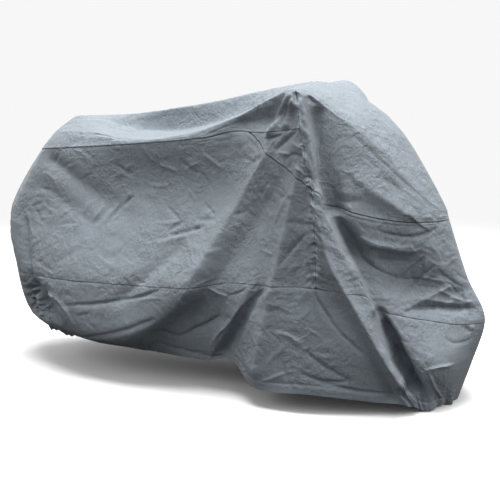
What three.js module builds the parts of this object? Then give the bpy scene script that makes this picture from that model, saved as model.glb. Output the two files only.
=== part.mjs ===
// Fitted motorcycle cover in woven cloth, standing open below in its draped shape.
// Millimetres, +X to the front, +Y to the left, +Z up. The tables are measured from the
// ground under the saddle; the finished group is moved so that its origin lies on the inner
// face of the top, over the saddle.
// The cloth is sewn from a crown, a hood over the bars, two gussets under the bar ends,
// rear and front side panels and a skirt for each side. Each one is a sheet of its own.
import * as THREE from "three";

// Cloth and seams
const CLOTH_THICKNESS = 2;
const HEM_THICKNESS = 3; // the hem is turned over once, so its edge is thicker
const SEAM_WIDTH = 0.4; // open line between two panels along a seam
const FLAT_WIDTH = 80; // folds fade out over this half-width towards the centre line
const END_FADE = 1.5; // a fold dies away past its ends over this many widths
const RIDGE_POINT = 1.4; // ridges of the taut cloth come to a point, troughs are rounder
const TROUGH_POINT = 1.8;

// Elastic gathers: waves around the hem at both ends of the cover
const GATHER_DEPTH = 9;
const GATHER_PITCH = 128;
const GATHER_RISE = 130; // height over which the waves run out above the hem
const GATHER_SPREAD = 330; // how far from each end they reach along the hem

const CLOTH_COLOUR = 0x7d858b;
const ROUGHNESS = 0.78;
const METALNESS = 0;

// Levels from the centre line of the top down to the hem. "rows" is the number of cells
// down to the next level, "tight" scales the slope there (small values make a sharper turn).
const LEVELS = [
  { level: "spine", tight: 1.0, rows: 2 },
  { level: "dip", tight: 0.8, rows: 3 },
  { level: "ridge", tight: 0.3, rows: 6 },
  { level: "seam", tight: 0.7, rows: 5 },
  { level: "waist", tight: 1.0, rows: 6 },
  { level: "low", tight: 0.9, rows: 4 },
  { level: "roll", tight: 0.9, rows: 4 },
  { level: "hem", tight: 1.0, rows: 0 },
];
const FLAP_ROWS = 3; // of the ridge rows, those above the gusset's upper edge
const GUSSET_EDGE = [1078, 1092]; // heights of that edge at the tank and at the bar
const FLAP_LIMIT = 0.86; // the edge ends above the seam, at this share of ridge to seam

// Sections round one side, from the middle of the tail to the middle of the nose. Each level
// is [x, distance out from the centre plane, z]. "cells" counts the columns to the next one.
const RIBS = [
  { rib: "tail", tight: 1.0, cells: 2,
    spine: [-820, 0, 1097], dip: [-865, 0, 1070], ridge: [-910, 0, 1035], seam: [-985, 0, 950],
    waist: [-1140, 0, 710], low: [-1148, 0, 455], roll: [-1115, 0, 270], hem: [-985, 0, 150] },
  { rib: "crease", tight: 0.6, cells: 2,
    spine: [-800, 0, 1098], dip: [-842, 26, 1073], ridge: [-890, 54, 1035], seam: [-952, 80, 955],
    waist: [-1112, 88, 700], low: [-1108, 90, 450], roll: [-1070, 84, 262], hem: [-955, 68, 145] },
  { rib: "corner", tight: 0.6, cells: 5,
    spine: [-770, 0, 1100], dip: [-806, 55, 1080], ridge: [-856, 112, 1036], seam: [-905, 145, 965],
    waist: [-1050, 166, 685], low: [-1018, 204, 425], roll: [-980, 192, 250], hem: [-890, 118, 140] },
  { rib: "rack", tight: 1.0, cells: 7,
    spine: [-660, 0, 1105], dip: [-674, 70, 1088], ridge: [-700, 148, 1046], seam: [-730, 180, 982],
    waist: [-806, 212, 732], low: [-800, 300, 430], roll: [-785, 294, 232], hem: [-740, 150, 125] },
  { rib: "seat", tight: 1.0, cells: 7,
    spine: [-430, 0, 1128], dip: [-434, 28, 1072], ridge: [-446, 185, 1024], seam: [-458, 206, 1007],
    waist: [-460, 195, 800], low: [-460, 346, 440], roll: [-440, 350, 232], hem: [-450, 190, 118] },
  { rib: "saddle", tight: 1.0, cells: 6,
    spine: [-150, 0, 1177], dip: [-146, 36, 1110], ridge: [-138, 205, 1075], seam: [-130, 222, 1044],
    waist: [-130, 215, 820], low: [-125, 350, 457], roll: [-130, 310, 330], hem: [-130, 250, 124] },
  { rib: "tank", tight: 1.0, cells: 6,
    spine: [50, 0, 1222], dip: [62, 72, 1172], ridge: [75, 245, 1158], seam: [82, 252, 1078],
    waist: [60, 260, 820], low: [50, 345, 487], roll: [50, 320, 320], hem: [40, 295, 140] },
  { rib: "grip", tight: 1.0, cells: 6,
    spine: [190, 0, 1250], dip: [193, 140, 1222], ridge: [200, 315, 1215], seam: [225, 345, 990],
    waist: [220, 350, 780], low: [210, 375, 498], roll: [190, 385, 300], hem: [165, 385, 78] },
  { rib: "bar", tight: 0.7, cells: 7,
    spine: [290, 0, 1260], dip: [300, 190, 1255], ridge: [318, 383, 1252], seam: [390, 405, 894],
    waist: [405, 400, 730], low: [410, 395, 507], roll: [420, 395, 300], hem: [390, 395, 82] },
  { rib: "pleat", tight: 0.5, cells: 3,
    spine: [420, 0, 1222], dip: [418, 165, 1211], ridge: [416, 318, 1190], seam: [440, 370, 842],
    waist: [515, 350, 660], low: [600, 332, 474], roll: [690, 318, 262], hem: [767, 262, 34] },
  { rib: "tuck", tight: 0.6, cells: 2,
    spine: [462, 0, 1204], dip: [458, 140, 1184], ridge: [456, 274, 1146], seam: [472, 326, 815],
    waist: [510, 262, 645], low: [612, 260, 412], roll: [708, 224, 240], hem: [785, 215, 8] },
  { rib: "lip", tight: 0.8, cells: 4,
    spine: [515, 0, 1176], dip: [511, 120, 1150], ridge: [508, 244, 1106], seam: [528, 304, 792],
    waist: [588, 232, 604], low: [665, 242, 395], roll: [765, 246, 205], hem: [822, 195, 2] },
  { rib: "fork", tight: 1.0, cells: 4,
    spine: [626, 0, 1088], dip: [620, 94, 1050], ridge: [612, 181, 1001], seam: [650, 214, 755],
    waist: [706, 150, 535], low: [775, 176, 365], roll: [835, 230, 195], hem: [850, 138, 12] },
  { rib: "fender", tight: 1.0, cells: 3,
    spine: [746, 0, 918], dip: [748, 47, 879], ridge: [752, 93, 832], seam: [775, 110, 738],
    waist: [852, 84, 515], low: [915, 92, 335], roll: [920, 136, 185], hem: [885, 80, 0] },
  { rib: "nose", tight: 1.0, cells: 0,
    spine: [820, 0, 790], dip: [825, 0, 778], ridge: [830, 0, 765], seam: [838, 0, 735],
    waist: [917, 0, 515], low: [998, 0, 330], roll: [955, 0, 160], hem: [905, 0, 0] },
];

// Folds of the cloth, seen from the side. A fold runs between two places [x, z], bowed by
// "bow" at its middle; "wide" is its half-width and "high" its height outwards at both ends,
// a negative height being a trough. "skew" widens one of its two flanks.
const FOLDS_RIGHT = [
  { fold: "bar_under", from: [85, 1108], to: [285, 1150], wide: [34, 46], high: [-14, -58] },
  { fold: "apex_fold", from: [298, 1222], to: [208, 1096], wide: [14, 20], high: [10, 26] },
  { fold: "ray_rear", from: [198, 1005], to: [-132, 445], bow: 9, wide: [36, 64], high: [17, 44], skew: 1.3 },
  { fold: "sweep", from: [-132, 445], to: [-590, 200], bow: -55, wide: [62, 50], high: [44, 14], skew: 1.2 },
  { fold: "rear_hollow", from: [262, 925], to: [-60, 430], wide: [44, 84], high: [-6, -30], skew: 0.6 },
  { fold: "sweep_under", from: [-60, 430], to: [-300, 215], wide: [70, 54], high: [-30, -30], skew: 0.8 },
  { fold: "ray_behind", from: [-205, 590], to: [-430, 395], wide: [28, 32], high: [-10, -14] },
  { fold: "ray_mid", from: [334, 939], to: [236, 507], wide: [24, 30], high: [12, 22], skew: 1.1 },
  { fold: "skirt_fall", from: [236, 507], to: [172, 165], wide: [32, 44], high: [22, 26], skew: 0.9 },
  { fold: "mid_hollow", from: [380, 880], to: [330, 505], wide: [26, 34], high: [-5, -8] },
  { fold: "skirt_slit", from: [168, 462], to: [-14, 186], wide: [22, 28], high: [-16, -42] },
  { fold: "slit_edge", from: [132, 461], to: [-34, 204], wide: [24, 28], high: [8, 22], skew: 1.5 },
  { fold: "bar_seam", from: [335, 1200], to: [425, 580], wide: [15, 24], high: [16, 10] },
  { fold: "bar_front", from: [400, 1160], to: [466, 810], bow: 6, wide: [22, 24], high: [-38, -52] },
  { fold: "flap", from: [415, 868], to: [474, 577], bow: 14, wide: [24, 26], high: [16, 34] },
  { fold: "tube", from: [474, 577], to: [745, 140], wide: [24, 24], high: [34, 38] },
  { fold: "tube_rear", from: [505, 440], to: [694, 82], bow: -18, wide: [26, 26], high: [-5, -26] },
  { fold: "tube_gap", from: [632, 410], to: [768, 115], wide: [22, 26], high: [-10, -56] },
  { fold: "pocket", from: [452, 815], to: [530, 640], wide: [14, 20], high: [-24, -20] },
  { fold: "hood_swell", from: [572, 872], to: [690, 778], wide: [50, 46], high: [18, 22], skew: 0.5 },
  { fold: "tail_trough", from: [-834, 912], to: [-484, 715], wide: [30, 42], high: [-16, -8] },
  { fold: "tail_lower", from: [-868, 800], to: [-640, 675], wide: [26, 30], high: [-7, -7] },
  { fold: "tail_tuck", from: [-968, 640], to: [-935, 400], wide: [18, 22], high: [-10, -26] },
  { fold: "tail_gather", from: [-905, 372], to: [-790, 262], wide: [28, 26], high: [-34, -28] },
  { fold: "front_fold", from: [760, 418], to: [950, 392], wide: [26, 24], high: [-24, -24] },
  { fold: "front_trough", from: [690, 505], to: [900, 445], wide: [55, 50], high: [-26, -22] },
];
const FOLDS_LEFT = [
  { fold: "bar_under", from: [85, 1108], to: [280, 1150], wide: [34, 44], high: [-12, -48] },
  { fold: "ray_rear", from: [190, 1000], to: [-40, 440], bow: 20, wide: [34, 58], high: [16, 36], skew: 1.2 },
  { fold: "rear_hollow", from: [110, 960], to: [-140, 520], bow: -10, wide: [38, 62], high: [-10, -26] },
  { fold: "ray_mid", from: [300, 930], to: [250, 460], bow: -15, wide: [28, 40], high: [12, 24], skew: 1.1 },
  { fold: "mid_hollow", from: [240, 880], to: [110, 430], wide: [30, 42], high: [-12, -26] },
  { fold: "sweep", from: [-160, 450], to: [-520, 230], bow: -25, wide: [48, 60], high: [24, 10], skew: 1.2 },
  { fold: "skirt_fall", from: [260, 470], to: [230, 100], bow: 10, wide: [36, 52], high: [24, 26] },
  { fold: "bar_seam", from: [335, 1200], to: [420, 560], wide: [24, 30], high: [10, 12] },
  { fold: "bar_front", from: [398, 1150], to: [468, 850], wide: [28, 30], high: [-18, -22] },
  { fold: "tube", from: [500, 560], to: [765, 110], bow: 10, wide: [30, 28], high: [14, 24] },
  { fold: "tube_rear", from: [470, 480], to: [690, 100], wide: [28, 30], high: [-16, -26] },
  { fold: "tail_tuck", from: [-1070, 560], to: [-1020, 320], wide: [22, 26], high: [-8, -20] },
  { fold: "hood_swell", from: [580, 862], to: [690, 790], wide: [48, 44], high: [16, 20], skew: 0.4 },
  { fold: "tail_trough", from: [-790, 925], to: [-500, 740], wide: [32, 42], high: [-14, -9] },
  { fold: "tail_ridge", from: [-870, 840], to: [-560, 650], bow: 10, wide: [40, 52], high: [10, 10] },
  { fold: "front_trough", from: [680, 590], to: [890, 450], wide: [38, 34], high: [-16, -8] },
];
const SIDES = [
  { side: "right", sign: -1, folds: FOLDS_RIGHT },
  { side: "left", sign: 1, folds: FOLDS_LEFT },
];

// Panels as ranges of sections and levels. The crown has two rows because it is cut back over
// the gussets. A panel with "each" is made once for every side, the others cover both sides.
const PANELS = [
  { panel: "crown_panel", from: "tail", to: "tank", upper: "spine", lower: "seam", each: false },
  { panel: "crown_panel", from: "tank", to: "bar", upper: "spine", lower: "flap", each: false },
  { panel: "hood_panel", from: "bar", to: "nose", upper: "spine", lower: "seam", each: false },
  { panel: "gusset", from: "tank", to: "bar", upper: "flap", lower: "seam", each: true },
  { panel: "side_rear", from: "tail", to: "bar", upper: "seam", lower: "low", each: true },
  { panel: "side_front", from: "bar", to: "nose", upper: "seam", lower: "low", each: true },
  { panel: "skirt", from: "tail", to: "nose", upper: "low", lower: "hem", each: true },
];

// Row number of each level and column number of each section in the grid of one side
const rowOf = {};
const columnOf = {};
let rowCount = 0;
let columnCount = 0;
for (const { level, rows } of LEVELS) {
  rowOf[level] = rowCount;
  rowCount += rows;
}
rowOf.flap = rowOf.ridge + FLAP_ROWS;
for (const { rib, cells } of RIBS) {
  columnOf[rib] = columnCount;
  columnCount += cells;
}

const mix = (a, b, t) => a + (b - a) * t;
const clamp01 = (t) => Math.min(1, Math.max(0, t));
const mirrored = (v) => new THREE.Vector3(v.x, -v.y, v.z);

// Point at u on the smooth curve through points that lie at the given knots; the first and
// the last point only steer the slopes at the two ends.
function curvePoint(knots, points, tight, u) {
  let i = 1;
  while (i < knots.length - 3 && u > knots[i + 1]) i += 1;
  const span = knots[i + 1] - knots[i];
  const slope = (k) => {
    const before = knots[k] - knots[k - 1];
    const after = knots[k + 1] - knots[k];
    const rise = points[k].clone().sub(points[k - 1]).multiplyScalar(after / before);
    rise.addScaledVector(points[k + 1].clone().sub(points[k]), before / after);
    return rise.multiplyScalar(tight[k] / (before + after));
  };
  const f = (u - knots[i]) / span;
  const out = points[i].clone().multiplyScalar(2 * f ** 3 - 3 * f ** 2 + 1);
  out.addScaledVector(points[i + 1], 3 * f ** 2 - 2 * f ** 3);
  out.addScaledVector(slope(i), span * (f ** 3 - 2 * f ** 2 + f));
  return out.addScaledVector(slope(i + 1), span * (f ** 3 - f ** 2));
}

// Mean distances between neighbouring rows of points, added up from the first row.
function knotsOf(rows) {
  const knots = [0];
  for (let i = 1; i < rows.length; i += 1) {
    const total = rows[i].reduce((sum, point, j) => sum + point.distanceTo(rows[i - 1][j]), 0);
    knots.push(knots[i - 1] + total / rows[i].length);
  }
  return knots;
}

const ribPoints = RIBS.map((row) => LEVELS.map(({ level }) => new THREE.Vector3(...row[level])));
const levelPoints = LEVELS.map((row, j) => ribPoints.map((rib) => rib[j]));
const ribKnots = knotsOf(ribPoints);
const levelKnots = knotsOf(levelPoints);
const last = RIBS.length - 1;

// The two centre sections and the centre line of the top are continued by their mirror images.
const roundKnots = [-ribKnots[1], ...ribKnots, 2 * ribKnots[last] - ribKnots[last - 1]];
const roundTight = [1, ...RIBS.map((row) => row.tight), 1];
const downKnots = [-levelKnots[1], ...levelKnots, 2 * levelKnots.at(-1) - levelKnots.at(-2)];
const downTight = [1, ...LEVELS.map((row) => row.tight), 1];

// Section of one side at the distance "along" from the tail: a point for each level, with the
// mirrored dip before the first and the hem carried straight on behind the last.
function sectionAt(along) {
  const points = levelPoints.map((line) =>
    curvePoint(roundKnots, [mirrored(line[1]), ...line, mirrored(line[last - 1])], roundTight, along));
  const beyond = points.at(-1).clone().multiplyScalar(2).sub(points.at(-2));
  return [mirrored(points[1]), ...points, beyond];
}

// Distance along for a column.
function columnPlace(column) {
  const i = Math.min(last - 1, RIBS.findLastIndex(({ rib }) => columnOf[rib] <= column));
  return mix(ribKnots[i], ribKnots[i + 1], (column - columnOf[RIBS[i].rib]) / RIBS[i].cells);
}

// Share of ridge to seam above the gusset's upper edge, which is straight seen from the side.
const knotOf = (name) => ribKnots[RIBS.findIndex(({ rib }) => rib === name)];
const levelNumber = (name) => LEVELS.findIndex(({ level }) => level === name);
function flapShare(along, section) {
  const [ridge, seam] = ["ridge", "seam"].map((name) => section[levelNumber(name) + 1].z);
  const edge = mix(...GUSSET_EDGE, (along - knotOf("tank")) / (knotOf("bar") - knotOf("tank")));
  return Math.min(FLAP_LIMIT, Math.max(1 - FLAP_LIMIT, (ridge - edge) / (ridge - seam)));
}

// Distance down for a row, with the gusset's edge as a row.
function rowPlace(row, flap) {
  const j = Math.min(LEVELS.length - 2, LEVELS.findLastIndex(({ level }) => rowOf[level] <= row));
  const step = row - rowOf[LEVELS[j].level];
  let t = step / LEVELS[j].rows;
  if (LEVELS[j].level === "ridge") {
    const below = LEVELS[j].rows - FLAP_ROWS;
    t = step <= FLAP_ROWS ? (flap * step) / FLAP_ROWS : mix(flap, 1, (step - FLAP_ROWS) / below);
  }
  return mix(levelKnots[j], levelKnots[j + 1], t);
}

// Height of one fold over the point (x, z) of the side view.
function foldHeight({ from: [x0, z0], to: [x1, z1], bow = 0, wide, high, skew = 1 }, x, z) {
  const length = Math.hypot(x1 - x0, z1 - z0);
  const dx = (x1 - x0) / length;
  const dz = (z1 - z0) / length;
  const t = ((x - x0) * dx + (z - z0) * dz) / length;
  const s = clamp01(t);
  const across = (x - x0) * dz - (z - z0) * dx - bow * 4 * s * (1 - s);
  const width = mix(...wide, s) * (across > 0 ? skew : 1);
  const beyond = Math.abs(t - s) * length;
  const point = high[1] > 0 ? RIDGE_POINT : TROUGH_POINT;
  const bell = Math.exp(-(Math.abs(across / width) ** point) - (beyond / (END_FADE * width)) ** 2);
  return mix(...high, s) * bell;
}

// Waves of the gathered hem, strongest at the hem and at both ends of the cover.
function gatherHeight(along, down) {
  const rise = clamp01(1 - (levelKnots.at(-1) - down) / GATHER_RISE);
  const end = Math.min(along, ribKnots[last] - along);
  const reach = clamp01(1 - end / GATHER_SPREAD);
  return GATHER_DEPTH * rise * rise * Math.sqrt(reach) * Math.cos((2 * Math.PI * end) / GATHER_PITCH);
}

// Grid of the smooth shape, pushed out by the folds along its own normals.
function drapedGrid(folds) {
  const smooth = [];
  for (let c = 0; c <= columnCount; c += 1) {
    const along = columnPlace(c);
    const section = sectionAt(along);
    const flap = flapShare(along, section);
    smooth.push(Array.from({ length: rowCount + 1 }, (unused, r) => {
      const down = rowPlace(r, flap);
      return { along, down, at: curvePoint(downKnots, section, downTight, down) };
    }));
  }
  const at = (c, r) => smooth[Math.min(columnCount, Math.max(0, c))][Math.min(rowCount, Math.max(0, r))].at;
  return smooth.map((column, c) => column.map(({ along, down, at: point }, r) => {
    const around = at(c + 1, r).clone().sub(at(c - 1, r));
    const falling = at(c, r + 1).clone().sub(at(c, r - 1));
    const normal = around.cross(falling).normalize();
    const heights = folds.map((fold) => foldHeight(fold, point.x, point.z));
    const height = gatherHeight(along, down) + Math.max(0, ...heights) + Math.min(0, ...heights);
    const draped = point.clone().addScaledVector(normal, height * clamp01(point.y / FLAT_WIDTH));
    draped.y = Math.max(0, draped.y);
    return draped;
  }));
}

// Common points of both sides: the centre line of the top, the tail and the nose are shared.
const points = [];
const thickness = [];
const pointIndex = new Map();
const grids = Object.fromEntries(SIDES.map(({ side, folds }) => [side, drapedGrid(folds)]));
function pointAt({ side, sign }, c, r) {
  const shared = r === 0 || c === 0 || c === columnCount;
  const key = `${shared ? "centre" : side}_${c}_${r}`;
  if (!pointIndex.has(key)) {
    const point = grids[side][c][r].clone();
    point.y = shared ? 0 : point.y * sign;
    pointIndex.set(key, points.length);
    points.push(point);
    thickness.push(r === rowCount ? HEM_THICKNESS : CLOTH_THICKNESS);
  }
  return pointIndex.get(key);
}

// Cells of the grid inside a range, as corner indices in turning order seen from outside.
function cellsOf({ from, to, upper, lower }, half) {
  const cells = [];
  for (let c = columnOf[from]; c < columnOf[to]; c += 1) {
    for (let r = rowOf[upper]; r < rowOf[lower]; r += 1) {
      const corners = [[c, r], [c + 1, r], [c + 1, r + 1], [c, r + 1]].map(([i, j]) => pointAt(half, i, j));
      cells.push(half.sign < 0 ? corners.reverse() : corners);
    }
  }
  return cells;
}

// Two triangles of a cell, split along its shorter diagonal.
function split([a, b, c, d]) {
  const short = points[a].distanceTo(points[c]) <= points[b].distanceTo(points[d]);
  return short ? [[a, b, c], [a, c, d]] : [[a, b, d], [b, c, d]];
}

// Normals of the whole cover, so that the edges of neighbouring panels stand side by side.
function coverNormals() {
  const whole = { from: "tail", to: "nose", upper: "spine", lower: "hem" };
  const triangles = SIDES.flatMap((half) => cellsOf(whole, half)).flatMap(split);
  const normals = points.map(() => new THREE.Vector3());
  for (const [i, j, k] of triangles) {
    const face = points[j].clone().sub(points[i]).cross(points[k].clone().sub(points[i]));
    for (const index of [i, j, k]) normals[index].add(face);
  }
  return normals.map((normal) => normal.normalize());
}

// Closed sheet over a set of cells: outer face, inner face and the edge all round, with the
// edge drawn back by half the seam's width.
function sheet(cells, normals) {
  const edges = new Map();
  for (const cell of cells) {
    const middle = cell.reduce((sum, i) => sum.add(points[i]), new THREE.Vector3()).divideScalar(cell.length);
    cell.forEach((a, n) => {
      const b = cell[(n + 1) % cell.length];
      if (!edges.delete(`${b}_${a}`)) edges.set(`${a}_${b}`, { a, b, middle });
    });
  }
  const inward = new Map();
  for (const { a, b, middle } of edges.values()) {
    const run = points[b].clone().sub(points[a]).normalize();
    const into = middle.clone().sub(points[a]);
    into.addScaledVector(run, -into.dot(run)).normalize();
    for (const index of [a, b]) inward.set(index, [...(inward.get(index) ?? []), into]);
  }
  const local = new Map();
  const positions = [];
  for (const index of new Set(cells.flat())) {
    const place = points[index].clone();
    if (inward.has(index)) {
      const [first, second] = inward.get(index);
      place.addScaledVector(first.clone().add(second), SEAM_WIDTH / 2 / (1 + first.dot(second)));
    }
    local.set(index, local.size);
    const half = normals[index].clone().multiplyScalar(thickness[index] / 2);
    positions.push(...place.clone().add(half).toArray(), ...place.clone().sub(half).toArray());
  }
  const outer = (index) => 2 * local.get(index);
  const inner = (index) => 2 * local.get(index) + 1;
  const triangles = [];
  for (const [a, b, c] of cells.flatMap(split)) {
    triangles.push(outer(a), outer(b), outer(c), inner(a), inner(c), inner(b));
  }
  for (const { a, b } of edges.values()) {
    // the same diagonal is used on both sides of a seam
    if (a < b) triangles.push(outer(a), inner(a), inner(b), outer(a), inner(b), outer(b));
    else triangles.push(outer(a), inner(a), outer(b), inner(a), inner(b), outer(b));
  }
  const geometry = new THREE.BufferGeometry();
  geometry.setAttribute("position", new THREE.Float32BufferAttribute(positions, 3));
  geometry.setIndex(triangles);
  geometry.computeVertexNormals();
  return geometry;
}

const cover = new THREE.Group();
cover.name = "motorcycle_cover";
const normals = coverNormals();
const cellsByNode = new Map();
for (const range of PANELS) {
  for (const half of SIDES) {
    const node = range.each ? `${range.panel}_${half.side}` : range.panel;
    cellsByNode.set(node, [...(cellsByNode.get(node) ?? []), ...cellsOf(range, half)]);
  }
}
for (const [node, cells] of cellsByNode) {
  const material = new THREE.MeshStandardMaterial({
    color: CLOTH_COLOUR, roughness: ROUGHNESS, metalness: METALNESS,
  });
  const mesh = new THREE.Mesh(sheet(cells, normals), material);
  mesh.name = node;
  cover.add(mesh);
}

// Origin on the inner face of the crown, over the saddle
const saddle = points[pointAt(SIDES[0], columnOf.saddle, 0)];
cover.position.set(-saddle.x, 0, CLOTH_THICKNESS / 2 - saddle.z);

export default cover;
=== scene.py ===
import bpy
import numpy as np
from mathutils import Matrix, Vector


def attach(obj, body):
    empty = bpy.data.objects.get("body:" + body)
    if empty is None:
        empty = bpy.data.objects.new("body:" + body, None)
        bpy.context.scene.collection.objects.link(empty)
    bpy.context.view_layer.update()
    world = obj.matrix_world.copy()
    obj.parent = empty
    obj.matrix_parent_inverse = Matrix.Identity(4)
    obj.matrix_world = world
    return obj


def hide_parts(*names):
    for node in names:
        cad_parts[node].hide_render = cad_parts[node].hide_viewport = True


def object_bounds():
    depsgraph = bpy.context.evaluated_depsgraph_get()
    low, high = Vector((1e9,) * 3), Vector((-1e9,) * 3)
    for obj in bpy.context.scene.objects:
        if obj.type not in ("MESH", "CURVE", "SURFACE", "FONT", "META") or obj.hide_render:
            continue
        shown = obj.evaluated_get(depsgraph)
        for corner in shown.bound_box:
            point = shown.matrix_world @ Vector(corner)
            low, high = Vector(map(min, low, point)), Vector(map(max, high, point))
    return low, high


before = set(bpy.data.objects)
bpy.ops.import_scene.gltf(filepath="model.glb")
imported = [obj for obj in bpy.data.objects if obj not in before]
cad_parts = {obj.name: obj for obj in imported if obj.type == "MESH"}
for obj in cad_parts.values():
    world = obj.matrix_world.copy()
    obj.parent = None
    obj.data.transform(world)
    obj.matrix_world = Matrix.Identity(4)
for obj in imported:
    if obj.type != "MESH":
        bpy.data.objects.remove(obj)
cad_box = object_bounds()

# Crown panel: the piece of coated polyester weave over tail, saddle and tank, up to the bars.
# It is one cut for both sides, taken back over the bar ends, and a lapped seam joins it to the
# side panels. All the panels are cut from one standing shape, so that shape comes first.
CLOTH_THICKNESS = 0.0012
CELL = 0.0042  # size of a mesh cell on the cloth
ORIGIN = np.array([-0.150, 0.0, 1.176])  # row origin, measured from the ground under the saddle

# Levels from the centre line of the top down to the hem, and how freely the cloth turns there.
LEVELS = ("spine", "dip", "ridge", "seam", "waist", "low", "roll", "hem")
LEVEL_TIGHT = np.array([1.0, 0.8, 0.3, 0.7, 1.0, 0.9, 0.9, 1.0])
# Sections of one side from tail to nose, metres from the ground: name, how freely the cloth turns
# there, then (x, half-width, z) at each level.
RIBS = (
    ("tail", 1.0, (-0.820, 0, 1.097), (-0.865, 0, 1.070), (-0.910, 0, 1.035),
     (-0.985, 0, 0.950), (-1.140, 0, 0.710), (-1.148, 0, 0.455),
     (-1.115, 0, 0.270), (-0.985, 0, 0.150)),
    ("crease", 0.6, (-0.800, 0, 1.098), (-0.842, 0.026, 1.073), (-0.890, 0.054, 1.035),
     (-0.952, 0.080, 0.955), (-1.112, 0.088, 0.700), (-1.108, 0.090, 0.450),
     (-1.070, 0.084, 0.262), (-0.955, 0.068, 0.145)),
    ("corner", 0.6, (-0.770, 0, 1.100), (-0.806, 0.055, 1.080), (-0.856, 0.112, 1.036),
     (-0.905, 0.145, 0.965), (-1.050, 0.166, 0.685), (-1.018, 0.204, 0.425),
     (-0.980, 0.192, 0.250), (-0.890, 0.118, 0.140)),
    ("rack", 1.0, (-0.660, 0, 1.105), (-0.674, 0.070, 1.088), (-0.700, 0.148, 1.046),
     (-0.730, 0.180, 0.982), (-0.806, 0.212, 0.732), (-0.800, 0.300, 0.430),
     (-0.785, 0.294, 0.232), (-0.740, 0.150, 0.125)),
    ("seat", 1.0, (-0.430, 0, 1.128), (-0.434, 0.030, 1.046), (-0.446, 0.185, 1.024),
     (-0.458, 0.206, 1.007), (-0.460, 0.195, 0.800), (-0.460, 0.346, 0.440),
     (-0.440, 0.350, 0.232), (-0.450, 0.190, 0.118)),
    ("saddle", 1.0, (-0.150, 0, 1.177), (-0.146, 0.036, 1.088), (-0.138, 0.205, 1.075),
     (-0.130, 0.222, 1.044), (-0.130, 0.215, 0.820), (-0.125, 0.350, 0.457),
     (-0.130, 0.310, 0.330), (-0.130, 0.250, 0.124)),
    ("tank", 1.0, (0.050, 0, 1.222), (0.062, 0.072, 1.164), (0.075, 0.245, 1.158),
     (0.082, 0.252, 1.078), (0.060, 0.260, 0.820), (0.050, 0.345, 0.487),
     (0.050, 0.320, 0.320), (0.040, 0.295, 0.140)),
    ("grip", 1.0, (0.190, 0, 1.250), (0.193, 0.140, 1.222), (0.200, 0.315, 1.215),
     (0.225, 0.345, 0.990), (0.220, 0.350, 0.780), (0.210, 0.375, 0.498),
     (0.190, 0.385, 0.300), (0.165, 0.385, 0.078)),
    ("bar", 0.7, (0.290, 0, 1.260), (0.300, 0.190, 1.255), (0.318, 0.383, 1.252),
     (0.390, 0.405, 0.894), (0.405, 0.400, 0.730), (0.410, 0.395, 0.507),
     (0.420, 0.395, 0.300), (0.390, 0.395, 0.082)),
    ("pleat", 0.5, (0.420, 0, 1.222), (0.418, 0.165, 1.211), (0.416, 0.318, 1.190),
     (0.440, 0.370, 0.842), (0.515, 0.350, 0.660), (0.600, 0.332, 0.474),
     (0.690, 0.318, 0.262), (0.767, 0.262, 0.034)),
    ("tuck", 0.6, (0.462, 0, 1.204), (0.458, 0.140, 1.184), (0.456, 0.274, 1.146),
     (0.472, 0.326, 0.815), (0.510, 0.262, 0.645), (0.612, 0.260, 0.412),
     (0.708, 0.224, 0.240), (0.785, 0.215, 0.008)),
    ("lip", 0.8, (0.515, 0, 1.176), (0.511, 0.120, 1.150), (0.508, 0.244, 1.106),
     (0.528, 0.304, 0.792), (0.588, 0.232, 0.604), (0.665, 0.242, 0.395),
     (0.765, 0.246, 0.205), (0.822, 0.195, 0.002)),
    ("fork", 1.0, (0.626, 0, 1.088), (0.620, 0.094, 1.050), (0.612, 0.181, 1.001),
     (0.650, 0.214, 0.755), (0.706, 0.150, 0.535), (0.775, 0.176, 0.365),
     (0.835, 0.230, 0.195), (0.850, 0.138, 0.012)),
    ("fender", 1.0, (0.746, 0, 0.918), (0.748, 0.047, 0.879), (0.752, 0.093, 0.832),
     (0.775, 0.110, 0.738), (0.852, 0.084, 0.515), (0.915, 0.092, 0.335),
     (0.920, 0.136, 0.185), (0.885, 0.080, 0)),
    ("nose", 1.0, (0.820, 0, 0.790), (0.825, 0, 0.778), (0.830, 0, 0.765),
     (0.838, 0, 0.735), (0.917, 0, 0.515), (0.998, 0, 0.330),
     (0.955, 0, 0.160), (0.905, 0, 0)),
)
RIB_PLACES = np.array([row[2:] for row in RIBS])
RIB_TIGHT = np.array([row[1] for row in RIBS])
MIRROR = np.array([1.0, -1.0, 1.0])


def mean_knots(rows):
    """Mean distances between neighbouring rows of points, added up from the first row."""
    steps = np.linalg.norm(np.diff(rows, axis=0), axis=2).mean(axis=1)
    return np.concatenate([[0.0], np.cumsum(steps)])


RIB_KNOTS = mean_knots(RIB_PLACES)
LEVEL_KNOTS = mean_knots(RIB_PLACES.swapaxes(0, 1))
RIB = {row[0]: knot for row, knot in zip(RIBS, RIB_KNOTS)}
LEVEL = dict(zip(LEVELS, LEVEL_KNOTS))


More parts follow.
